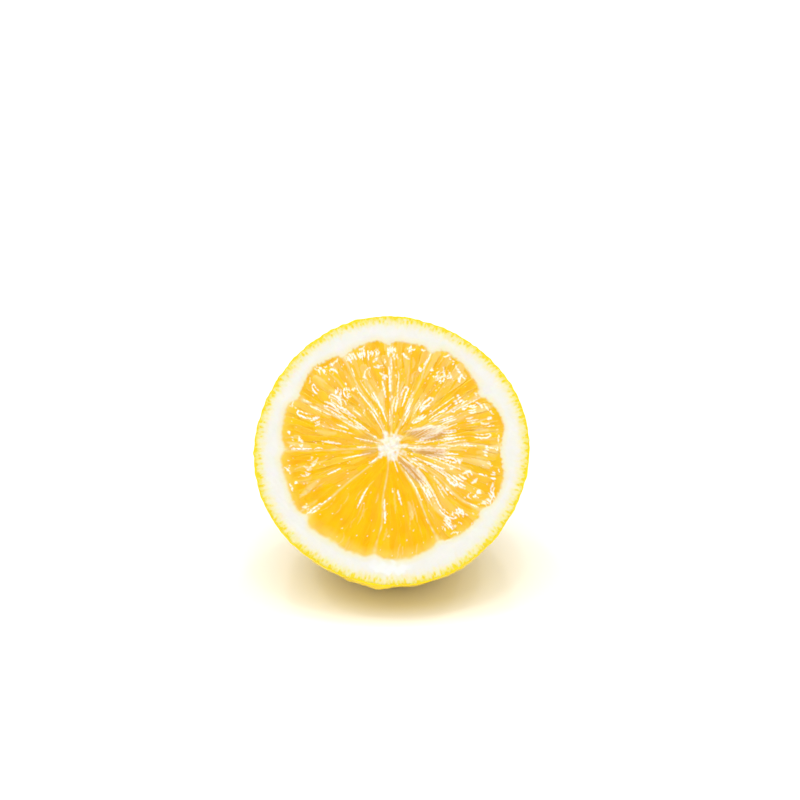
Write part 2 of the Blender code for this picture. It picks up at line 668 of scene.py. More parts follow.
    def pulp(self, lay: Layout, torn: Array) -> dict[str, Array]:
        """Fills every segment with sacs, and lays on them pale skin and painted highlights: bright
        strokes, and white dots on raised beads of juice.

        Args:
            lay: where the points are.
            torn: how torn the cut is at each point.

        Returns:
            The "height", "tone", "veil" and "glint" at each point.
        """
        found = {name: np.zeros(len(lay.radius)) for name in ("height", "tone", "veil", "glint")}
        for number, segment in enumerate(SEGMENTS):
            inside = np.flatnonzero((lay.index == number) & (lay.radius < lay.pocket + 1.0))
            flat = lay.bent[inside]
            start, end = math.radians(self.starts[number]), math.radians(self.ends[number])
            base, rough = -0.12 + 0.03 * mottle(flat, 2.5, 23), 0.05 * mottle(flat, 0.7, 33)
            patch = Patch(flat, start, end, base, rough)
            for row in SAC_ROWS:
                across = max(1, round((end - start) * row.outer / row.width * self.sac_fill))
                for place in range(across):
                    turn = start + (place + self.draw.uniform(0.15, 0.85)) / across * (end - start)
                    self.lay_sac(patch, row, turn, segment.torn)
            patch.height *= 0.15 + 0.85 * torn[inside]
            self.lay_strokes(patch, segment)
            patch.glint *= 0.3 + 0.7 * smooth(mottle(flat, 0.8, 27), -1.5, -0.7)
            patch.height += 0.06 * patch.glint
            for name in found:
                found[name][inside] = getattr(patch, name)
        return found

    def lay_sac(self, patch: Patch, row: SacRow, turn: float, torn: float) -> None:
        """Lays one sac into a segment where it stands higher than the sacs laid so far.

        Args:
            patch: the segment's points, changed in place.
            row: the row it belongs to.
            turn: where its outer end is, in radians.
            torn: how torn the segment is.
        """
        draw = self.draw
        outer = row.outer + draw.uniform(-1.3, 1.0)
        length = row.length * draw.uniform(0.75, 1.3)
        width = row.width * draw.uniform(0.75, 1.25)
        lean = turn + draw.normal(0, 0.09)
        bend = draw.normal(0, 0.3)
        lift = draw.normal(0.0, 0.04)
        slope = draw.normal(0.02, 0.04)
        dome = width * draw.uniform(0.05, 0.13)
        opened = draw.random() < self.opened_sacs
        hue, pale = draw.random(), torn * draw.random() ** 3
        outwards = np.array([math.cos(lean), math.sin(lean)])
        sideways = np.array([-math.sin(lean), math.cos(lean)])
        away = patch.flat - outer * np.array([math.cos(turn), math.sin(turn)])
        along = away @ -outwards / length
        near = np.flatnonzero((along > 0) & (along < 1))
        along = along[near]
        aside = away[near] @ sideways - bend * along * (1 - along) * 2
        blunt = 0.55 * width / length
        half = np.where(
            along < blunt,
            np.sqrt(np.maximum(1 - (1 - along / blunt) ** 2, 0)),
            1 - 0.85 * (np.maximum(along - blunt, 0) / (1 - blunt)) ** 1.6,
        )
        gap = np.abs(aside) / (half * width / 2 + 1e-6)
        inside = gap < 1
        near, along, gap = near[inside], along[inside], gap[inside]
        fall = lift + slope * (0.4 - along)
        if opened:
            tall = fall + 0.05 * np.exp(-(((gap - 0.86) / 0.15) ** 2)) - 0.5 * dome * (1 - gap**2)
        else:
            tall = fall + dome * (np.sqrt(1 - gap**2) - 0.5) * (1 - 0.4 * along)
        over = tall > patch.height[near]
        near, gap = near[over], gap[over]
        patch.height[near] = tall[over]
        patch.tone[near] = hue
        patch.veil[near] = 0.45 * pale + torn * 0.2 * smooth(gap, 0.75, 1.0)

    def spot(self, patch: Patch, near: float, far: float) -> tuple[float, float]:
        """Draws a random place in a segment.

        Args:
            patch: the segment's points.
            near: the least radius.
            far: the greatest radius.

        Returns:
            Its radius and its turn.
        """
        radius = math.sqrt(self.draw.uniform(near**2, far**2))
        return radius, patch.start + (patch.end - patch.start) * self.draw.uniform(0.05, 0.95)

    def lay_strokes(self, patch: Patch, segment: Segment) -> None:
        """Lays the pale torn skin and the painted highlights on the sacs of a segment.

        Args:
            patch: the segment's points, changed in place.
            segment: the segment.
        """
        area = (patch.end - patch.start) / 2 * self.pocket_radius**2
        self.lay_pale(patch, area, segment.torn)
        self.lay_painted_highlights(patch, area, segment.torn)
        self.lay_fibres_and_painted_highlights(patch, area, segment)

    def lay_pale(self, patch: Patch, area: float, torn: float) -> None:
        """Lays the clouded sacs of a torn cut, and the pale fibres of a clean one.

        Args:
            patch: the segment's points, changed in place.
            area: the segment's area.
            torn: how torn it is.
        """
        draw = self.draw
        for _ in range(round(0.06 * area * torn)):  # clouded sacs
            radius, turn = self.spot(patch, 5, 24)
            length, half, lean = draw.uniform(2, 6), draw.uniform(0.4, 0.95), draw.normal(0, 0.12)
            cloud = Stroke(radius, turn, lean, length, half, draw.normal(0, 0.3), core=0.0)
            patch.cloud(cloud, draw.uniform(0.1, 0.5))
        for _ in range(round(0.06 * area * (1 - torn))):  # pale fibres
            radius, turn = self.spot(patch, 10, 25)
            length, half, lean = draw.uniform(1.5, 5), draw.uniform(0.12, 0.3), draw.normal(0, 0.1)
            fibre = Stroke(radius, turn, lean, length, half, draw.normal(0, 0.3), core=0.2)
            patch.cloud(fibre, draw.uniform(0.2, 0.55))

    def lay_painted_highlights(self, patch: Patch, area: float, torn: float) -> None:
        """Lays painted highlights: the arcs, lines, patches and loops that light makes on the wet
        skin of torn sacs.

        Args:
            patch: the segment's points, changed in place.
            area: the segment's area.
            torn: how torn it is.
        """
        draw, wide = self.draw, patch.end - patch.start
        for _ in range(round(7 * wide * torn)):  # arcs along the segment's rounded end
            radius, turn = draw.uniform(23.4, 24.8), patch.start + wide * draw.uniform(0.1, 0.9)
            lean = math.pi / 2 + draw.normal(0, 0.25)
            length, half = draw.uniform(0.6, 2.6), draw.uniform(0.13, 0.22)
            arc = Stroke(radius, turn, lean, length, half, -0.15)
            patch.shine(arc, draw.uniform(0.6, 1.0))
        for _ in range(round(0.062 * area * torn**1.5)):  # lines side by side
            radius, turn = self.spot(patch, *((6, 24) if draw.random() < 0.45 else (16, 24.5)))
            lean = draw.normal(0, 0.13)
            if radius > 16 and draw.random() < 0.35:
                lean += draw.choice((-1, 1)) * draw.uniform(0.4, 1.3)
            length = draw.uniform(0.7, 2.8) if radius > 16 else draw.uniform(1.4, 5.0)
            bend, shift = draw.normal(0, 0.25), 0.0
            for _ in range(draw.integers(1, 5)):
                place = radius + draw.normal(0, 0.15) * length
                half = draw.uniform(0.14, 0.34)
                line = Stroke(place, turn, lean, length * draw.uniform(0.5, 1.1), half, bend, shift)
                patch.shine(line, draw.uniform(0.6, 1.0) * min(0.35 + torn, 1.0))
                shift += draw.uniform(0.45, 0.85)
        for _ in range(round(0.022 * area * torn)):  # patches
            radius, turn = self.spot(patch, *((8, 24) if draw.random() < 0.4 else (18, 24.4)))
            lean, length, half = draw.normal(0, 0.6), draw.uniform(0.3, 1.6), draw.uniform(0.3, 0.5)
            wet = Stroke(radius, turn, lean, length, half, draw.normal(0, 0.2))
            patch.shine(wet, draw.uniform(0.6, 1.0))
        for _ in range(round(0.009 * area * torn) if torn > 0.5 else 0):  # loops round a sac
            radius, turn = self.spot(patch, 9, 22)
            length, half = draw.uniform(2.0, 4.5), draw.uniform(0.16, 0.24)
            across, lean = draw.uniform(0.34, 0.55), draw.normal(0, 0.12)
            loop = Stroke(radius, turn, lean, length, half, draw.normal(0, 0.3), loop=across)
            patch.shine(loop, draw.uniform(0.7, 1.0))

    def lay_fibres_and_painted_highlights(self, patch: Patch, area: float, segment: Segment) -> None:
        """Lays the bright fibres from the core, and the painted highlights of the dashes along the
        walls and of the dots of juice; the fibres are drawn in the same painted white.

        Args:
            patch: the segment's points, changed in place.
            area: the segment's area.
            segment: the segment.
        """
        draw = self.draw
        for _ in range(round(14 * segment.streaks)):  # fibres from the core
            radius, turn = self.spot(patch, 4.5, 15)
            lean = draw.normal(0, 0.05)
            length, half = draw.uniform(2, 7.5), draw.uniform(0.12, 0.26)
            patch.shine(Stroke(radius, turn, lean, length, half), draw.uniform(0.5, 1.0))
        for _ in range(round(9 * segment.torn)):  # painted highlight dashes along the two walls
            radius, side = draw.uniform(4, 23), draw.choice((-1, 1))
            turn = side * draw.uniform(0.12, 0.45) / radius
            turn += patch.end if side < 0 else patch.start
            lean = draw.normal(0, 0.03)
            length, half = draw.uniform(0.5, 4.0), draw.uniform(0.12, 0.24)
            patch.shine(Stroke(radius, turn, lean, length, half), draw.uniform(0.5, 1.0))
        for _ in range(round(area * (0.08 + 0.16 * segment.torn))):  # painted highlights on dots of juice
            radius, turn = self.spot(patch, 4, 24.3)
            lean, length, half = draw.uniform(0, 3), draw.uniform(0, 0.3), draw.uniform(0.1, 0.24)
            patch.shine(Stroke(radius, turn, lean, length, half), draw.uniform(0.35, 1.0))

    def seeds(self, flat: Array) -> dict[str, Array]:
        """Where the seeds show, and how far they stand up.

        Args:
            flat: the points' x and y.

        Returns:
            The "shade", the "rise" and the "skin", its pale wet upper edge with a painted sheen, at
            each point.
        """
        found = {name: np.zeros(len(flat)) for name in ("shade", "rise", "skin")}
        for one in SEEDS:
            turn, towards = math.radians(one.turn), math.radians(one.turn + one.lean)
            away = flat - one.middle * np.array([math.cos(turn), math.sin(turn)])
            along = away @ np.array([math.cos(towards), math.sin(towards)]) / (one.length / 2)
            aside = away @ np.array([-math.sin(towards), math.cos(towards)])
            aside = aside / (one.width / 2 * (0.8 + 0.3 * np.clip(along, -1, 1)))
            gap = np.hypot(along, aside)
            # Pale wet skin along a raised seed's upper edge, which also carries a painted sheen.
            skin = smooth(np.abs(gap - 0.85), 0.35, 0.1) * smooth(aside, 0.2, 0.6) * (one.rise > 0)
            for name, value in (
                ("shade", one.shade * smooth(gap, 1.15, 0.6)),
                ("rise", one.rise * np.sqrt(np.clip(1 - gap**2, 0, 1))),
                ("skin", skin),
            ):
                found[name] = np.maximum(found[name], value)
        return found

    def film(self, flat: Array) -> Array:
        """A crescent of juice that has run down onto the lowest pith, glossier there and painted
        whiter as a sheen.

        Args:
            flat: the points' x and y.

        Returns:
            From 0 on dry pith to 1 under the juice.
        """
        turn = np.degrees(np.arctan2(flat[:, 1], flat[:, 0]))
        along = (turn - self.film_turn) / self.film_half_turn
        half = 1.25 * np.sqrt(np.clip(1.05 - along**2, 0.001, 1))
        across = (np.hypot(*flat.T) - (self.film_radius - 0.5 * along**2)) / half
        across += 0.25 * mottle(flat, 1.8, 29)
        inside = smooth(across, -1.5, 0.1) * smooth(across, 1.15, 0.8)
        return inside * smooth(np.abs(along), 1.0, 0.5)


@dataclass(frozen=True)
class FleshFinish:
    """Cut lemon flesh: translucent juice sacs under a film of juice, in dry spongy pith."""

    deep: str = "#E7AE00"  # a full sac
    gold: str = "#E7BA00"
    bright: str = "#E7C50D"  # a sac that light comes through
    clouded: str = "#E7D396"  # the thin skins of the sacs and the walls
    white: str = "#F7F7F3"  # painted highlight: wet skin that mirrors the light
    edge: str = "#E7CD6A"  # thin pulp over the pith
    pith: str = "#E3E1DB"
    pith_shade: str = "#E0DFD6"
    stained: str = "#E3DCB9"  # painted sheen: pith under the juice that has run down, whiter as if it mirrored the light
    painted_sheen: str = "#E7E7E4"  # pith under the juice that has run down
    core: str = "#E7E3D9"
    core_shade: str = "#E3D9BB"
    seed: str = "#CF9D4F"
    seed_skin: str = "#E7D9B8"
    zest: tuple[tuple[float, str], ...] = (  # from the skin inwards
        (0.0, "#E5D035"),
        (0.1, "#E5D873"),
        (0.24, "#E4DBA1"),
        (0.4, "#E3DEBC"),
        (0.58, "#E3DFCF"),
    )
    zest_depth: float = 4.0  # how deep the zest's stain goes, in millimetres
    wedge_depth: float = 2.9  # how much further it goes in a wedge than beside one
    fruit_ior: float = 1.36
    juice_ior: float = 1.45
    gland_pitch: float = 1.05  # millimetres from one oil gland to the next
    fibres: float = 24.0  # to a radian: about 1 mm apart at the segments' ends, and finer inwards
    fibre_length: float = 0.14  # to a millimetre: a fibre is about 7 mm long, like a sac
    pulp_cloud: float = 0.28  # to a millimetre: fuller and emptier patches, every 3.6 mm
    pith_cloud: float = 0.35  # every 2.9 mm
    sponge: float = 0.9  # the core's pores, 1.1 mm apart
    fine_grain: float = 2.2  # cut cells, drawn coarser than they are so that they show: 0.45 mm

    def material(self) -> bpy.types.Material:
        """Builds the material. The marks on the mesh say where each tissue is, and where light is
        painted.

        Returns:
            The material.
        """
        # Light sinks deep into full sacs and comes out golden, the juice on them has a sharp gloss,
        # and the pith is matt and almost white.
        made, tree, shader = new_material("cut_lemon_flesh")
        node = partial(add_node, tree)
        names = "in_pulp tone veil glint seed_shade torn pulp_gap core film rind".split()
        marks = {name: node("Attribute", out="Fac", attribute_name=name) for name in names}
        marks["place"] = node("Attribute", out="Vector", attribute_name="place")
        across = node("SeparateXYZ", {0: marks["place"]}, out="X")
        upward = node("SeparateXYZ", {0: marks["place"]}, out="Y")
        level = node("CombineXYZ", {0: across, 1: upward})
        marks["turn"] = node("Math", {0: upward, 1: across}, operation="ARCTAN2")
        marks["away"] = node("VectorMath", {0: level}, out="Value", operation="LENGTH")
        pith, pulp = self.pith_colour(node, marks), self.pulp_colour(node, marks)
        colour = node("Mix", {0: marks["in_pulp"], 6: pith, 7: pulp}, **MIXED)

        grain = {"Vector": marks["place"], "Scale": self.fine_grain, "Detail": 5.0}
        fine = node("TexNoise", grain)
        wet = node("Math", {0: marks["in_pulp"], 1: marks["film"]}, operation="MAXIMUM")
        dry = node("Math", {0: fine, 1: 0.08, 2: 0.62}, **TIMES_PLUS)
        coat = node("Math", {0: marks["torn"], 1: 0.65, 2: 0.15}, **TIMES_PLUS)
        # Light spreads less far near the rim, so that no green shade gathers at the peel. It hardly
        # spreads under the painted highlights, so that these stay white.
        reach = {"From Min": 0.3, "From Max": 5.0, "To Min": 0.08 * MM, "To Max": 2.0 * MM}
        spread = node("MapRange", {"Value": marks["rind"], **reach})
        dull = node("Math", {0: marks["glint"], 1: -0.92, 2: 1.0}, **TIMES_PLUS)
        inputs = {
            "Base Color": colour,
            "Roughness": node("Math", {0: wet, 1: -0.48, 2: dry}, **TIMES_PLUS),
            "Normal": node("Bump", {"Height": fine, "Distance": 0.03 * MM, "Strength": 0.6}),
            "IOR": self.fruit_ior,
            "Specular IOR Level": 0.1,
            "Coat Weight": node("Math", {0: coat, 1: wet}, **TIMES),
            "Coat Roughness": 0.06,
            "Coat IOR": self.juice_ior,
            "Subsurface Weight": 0.85,
            "Subsurface Radius": (1.0, 0.7, 0.3),
            "Subsurface Scale": node("Math", {0: spread, 1: dull}, **TIMES),
        }
        set_inputs(tree, shader, inputs)
        return made

    def pulp_colour(self, node: NodeMaker, marks: dict[str, Socket]) -> Socket:
        """The colour of the juice sacs, their skins and the seeds.

        Args:
            node: adds a node to the material.
            marks: the mesh's marks and the points' places, by name.

        Returns:
            The colour.
        """
        # Fibres run outwards from the core: the grain is long along the radius, narrow across it.
        spin = node("Math", {0: marks["turn"], 1: self.fibres}, **TIMES)
        out = node("Math", {0: marks["away"], 1: self.fibre_length}, **TIMES)
        polar = node("CombineXYZ", {0: spin, 1: out})
        grain = node("TexNoise", {"Vector": polar, "Scale": 1.0, "Detail": 4.0})
        spots = {"Vector": marks["place"], "Scale": self.pulp_cloud, "Detail": 3.0}
        cloud = node("TexNoise", spots)
        tone = node("Math", {0: grain, 1: 0.8, 2: cloud}, **TIMES_PLUS)
        tone = node("Math", {0: marks["tone"], 1: 0.35, 2: tone}, **TIMES_PLUS)
        tone = node("Math", {0: tone, 1: 0.6}, operation="SUBTRACT")
        stops = ((0.2, self.deep), (0.55, self.gold), (0.95, self.bright))
        colour = node("ValToRGB", {0: tone}, stops=stops)
        # A clean cut leaves a thin paler edge of pulp, which ends 2.8 mm in from the pith.
        reach = {"From Min": 2.8, "From Max": 0.0, "To Max": 0.75}
        thin = node("MapRange", {"Value": marks["pulp_gap"], **reach}, **SOFT_STEP)
        clean = node("Math", {0: 1.0, 1: marks["torn"]}, operation="SUBTRACT")
        thin = node("Math", {0: thin, 1: clean}, **TIMES)
        colour = node("Mix", {0: thin, 6: colour, 7: self.edge}, **MIXED)
        colour = node("Mix", {0: marks["veil"], 6: colour, 7: self.clouded}, **MIXED)
        streak = node("MapRange", {"Value": grain, "From Min": 0.5, "From Max": 0.68}, **SOFT_STEP)
        streak = node("Math", {0: streak, 1: marks["seed_shade"]}, **TIMES)
        seed = node("Mix", {0: streak, 6: self.seed, 7: self.seed_skin}, **MIXED)
        colour = node("Mix", {0: marks["seed_shade"], 6: colour, 7: seed}, **MIXED)
        # Painted highlights: the glint mark turns the colour white where wet skin would mirror the
        # lamps.
        return node("Mix", {0: marks["glint"], 6: colour, 7: self.white}, **MIXED)

    def pith_colour(self, node: NodeMaker, marks: dict[str, Socket]) -> Socket:
        """The colour of the pith, of the zest round it and of the core.

        Args:
            node: adds a node to the material.
            marks: the mesh's marks and the points' places, by name.

        Returns:
            The colour.
        """
        # Oil glands stand side by side under the peel, and stain the zest in ragged wedges.
        rind = marks["rind"]
        across = FruitShape.rim_radius / self.gland_pitch
        spin = node("Math", {0: marks["turn"], 1: across}, **TIMES)
        out = node("Math", {0: marks["away"], 1: 0.55 / self.gland_pitch}, **TIMES)
        ring = node("CombineXYZ", {0: spin, 1: out})
        fringe = node("TexNoise", {"Vector": ring, "Scale": 1.3, "Detail": 2.0})
        deeper = node("Math", {0: fringe, 1: -self.wedge_depth, 2: 1.5}, **TIMES_PLUS)
        depth = node("Math", {0: rind, 1: deeper}, operation="ADD")
        cell = {"Vector": ring, "Scale": 1.0, "Randomness": 0.8}
        gland = node("TexVoronoi", cell, voronoi_dimensions="2D")
        cell = {"Value": gland, "From Min": 0.38, "From Max": 0.18, "To Max": 0.75}
        gland = node("MapRange", cell, **SOFT_STEP)
        outer = node("MapRange", {"Value": rind, "From Min": 2.2, "From Max": 1.2}, **SOFT_STEP)
        gland = node("Math", {0: gland, 1: outer}, **TIMES)
        depth = node("Math", {0: depth, 1: gland}, operation="SUBTRACT")
        share = node("Math", {0: depth, 1: self.zest_depth}, operation="DIVIDE")
        spots = {"Vector": marks["place"], "Scale": self.pith_cloud, "Detail": 4.0}
        cloud = node("TexNoise", spots)
        pith = node("ValToRGB", {0: cloud}, stops=((0.35, self.pith_shade), (0.65, self.pith)))
        near = node("MapRange", {"Value": marks["pulp_gap"], "From Min": -1.6, "From Max": 0.0})
        pith = node("Mix", {0: near, 6: pith, 7: self.stained}, **MIXED)
        zest = node("ValToRGB", {0: share}, stops=self.zest)
        inner = node("MapRange", {"Value": share, "From Min": 0.5, "From Max": 0.8}, **SOFT_STEP)
        colour = node("Mix", {0: inner, 6: zest, 7: pith}, **MIXED)
        # Painted sheen: the pith under the juice that has run down is whitened, and its lower
        # roughness makes it glossy too.
        colour = node("Mix", {0: marks["film"], 6: colour, 7: self.painted_sheen}, **MIXED)
        spots = {"Vector": marks["place"], "Scale": self.sponge, "Detail": 4.0}
        spongy = node("TexNoise", spots)
        heart = node("ValToRGB", {0: spongy}, stops=((0.38, self.core_shade), (0.52, self.core)))
        return node("Mix", {0: marks["core"], 6: colour, 7: heart}, **MIXED)


@dataclass(frozen=True)
class PeelFinish:
    """Ripe lemon peel: waxy and glossy, with an oil gland under each small dimple."""

    ripe: str = "#F5CF00"
    bright: str = "#FCDC00"
    pore: str = "#E6B400"
    russet: str = "#B98A3C"  # dry scarred skin
    roughness: float = 0.33
    wax_ior: float = 1.45
    cloud: float = 0.09  # to a millimetre: riper and less ripe patches, every 11 mm
    scar_edge: float = 0.8  # the scar's uneven edge, every 1.3 mm
    rubs: float = 0.3  # rubbed marks, every 3.3 mm at most
    fine_grain: float = 3.0  # skin cells, drawn coarser than they are so that they show: 0.33 mm

    def material(self) -> bpy.types.Material:
        """Builds the material.

        Returns:
            The material.
        """
        # The wax gives a broad gloss, which the dimples break up, and light hardly enters the skin.
        made, tree, shader = new_material("waxy_lemon_peel")
        node = partial(add_node, tree)
        place = node("Attribute", out="Vector", attribute_name="place")
        cloud = node("TexNoise", {"Vector": place, "Scale": self.cloud, "Detail": 4.0})
        base = node("ValToRGB", {0: cloud}, stops=((0.3, self.ripe), (0.7, self.bright)))
        pore = node("Attribute", out="Fac", attribute_name="pore")
        weak = node("Math", {0: pore, 1: 0.25}, **TIMES)
        colour = node("Mix", {0: weak, 6: base, 7: self.pore}, **MIXED)
        # The dry scar where the flower was, and small marks where a leaf or a twig has rubbed.
        uneven = node("TexNoise", {"Vector": place, "Scale": self.scar_edge, "Detail": 4.0})
        middle = (0.4, 0.2, -FruitShape().depth)
        tip = node("VectorMath", {0: place, 1: middle}, out="Value", operation="DISTANCE")
        tip = node("Math", {0: uneven, 1: 3.0, 2: tip}, **TIMES_PLUS)
        scar = node("MapRange", {"Value": tip, "From Min": 3.6, "From Max": 2.6}, **SOFT_STEP)
        grain = {"Vector": place, "Scale": self.rubs, "Detail": 6.0, "Roughness": 0.7}
        fleck = {"Value": node("TexNoise", grain), "From Min": 0.7, "From Max": 0.78, "To Max": 0.5}
        fleck = node("MapRange", fleck, **SOFT_STEP)
        scar = node("Math", {0: scar, 1: fleck}, operation="MAXIMUM")
        fine = node("TexNoise", {"Vector": place, "Scale": self.fine_grain, "Detail": 3.0})
        inputs = {
            "Base Color": node("Mix", {0: scar, 6: colour, 7: self.russet}, **MIXED),
            "Roughness": node("Math", {0: scar, 1: 0.35, 2: self.roughness}, **TIMES_PLUS),
            "Normal": node("Bump", {"Height": fine, "Distance": 0.03 * MM, "Strength": 0.5}),
            "IOR": self.wax_ior,
            "Specular IOR Level": 0.15,
            "Coat Weight": 0.45,
            "Coat Roughness": 0.16,
            "Subsurface Weight": 0.1,
            "Subsurface Radius": (1.0, 0.7, 0.1),
            "Subsurface Scale": 0.2 * MM,
        }
        set_inputs(tree, shader, inputs)
        return made


@dataclass(frozen=True)
class Flesh:
    """The pith and the pulp: a closed body whose top is the cut, and whose rest the peel hides."""

    shape: FruitShape = field(default_factory=FruitShape)
    gap: float = 0.005  # between the flesh and the peel
    finest: int = 1120  # points in the longest rings
    ring_step: float = 0.23
    pith_step: float = 0.3
    fine_from: float = 13.0  # rings further out than this have the most points
    fine_to: float = 25.6  # rings further out than this lie on pith
    coarse_rings: int = 6  # how many rings next to the hidden tip have the fewest points

    @property
    def edge(self) -> float:
        """The radius of the cut's edge, where the peel starts."""
        return self.shape.rim_radius - self.shape.lip - self.gap

    def rings(self) -> RingSheet:
        """Lays out the rings, from the centre of the cut out to the rim and down to the tip.

        Returns:
            The rings.
        """
        sheet = RingSheet(self.finest)
        sheet.add(Detail.POLE, 0.0, 0.0, Side.CUT)
        steps = (Detail.FINE, 1), (Detail.HALF, 1 / 2), (Detail.QUARTER, 1 / 4), (Detail.EIGHTH, 0)
        radius = self.ring_step
        while radius < self.fine_to:
            detail = next(d for d, share in steps if radius >= self.fine_from * share)
            sheet.add(detail, radius, 0.0, Side.CUT)
            radius += self.ring_step
        count = round((self.edge - radius) / self.pith_step)
        for place in np.linspace(radius, self.edge - self.shape.knife_edge, count).tolist():
            sheet.add(Detail.HALF, place, 0.0, Side.CUT)
        sheet.add(Detail.HALF, self.edge, -self.shape.knife_edge, Side.HIDDEN)
        wall = self.shape.hidden_wall(self.gap, least=0.5)
        for number, (radius, height) in enumerate(wall):
            detail = Detail.EIGHTH if number else Detail.QUARTER
            if number >= len(wall) - self.coarse_rings:
                detail = Detail.SIXTEENTH
            sheet.add(detail, radius, height, Side.HIDDEN)
        sheet.add(Detail.POLE, 0.0, sheet.heights[-1] - 0.6, Side.HIDDEN)
        return sheet

    def build(self) -> bpy.types.Object:
        """Makes the piece and dresses it.

        Returns:
            The piece.
        """
        sheet = self.rings()
        radius, turn, cut = sheet.spread(sheet.radii), sheet.turns(), sheet.on(Side.CUT)
        unevenness, ripple = self.shape.unevenness(turn), self.shape.ripple(turn)
        share = np.where(cut, (radius / self.edge) ** 2, 1.0)
        grown = radius * (1 + unevenness * share + ripple * smooth(self.edge - radius, 2.0, 0.0))
        flat = np.stack([grown * np.cos(turn), grown * np.sin(turn)], axis=1)
        rind = np.maximum(self.edge * (1 + unevenness + ripple) - grown, 0)
        marks = CutFace().measure(flat) | {"rind": np.where(cut, rind, 0)}
        relief = marks.pop("height") * smooth(rind, 0.0, 0.5)
        points = np.column_stack([flat, np.where(cut, relief, sheet.spread(sheet.heights))])
        piece = make_piece("flesh", points, sheet.faces(), marks)
        piece.data.materials.append(FleshFinish().material())
        return piece


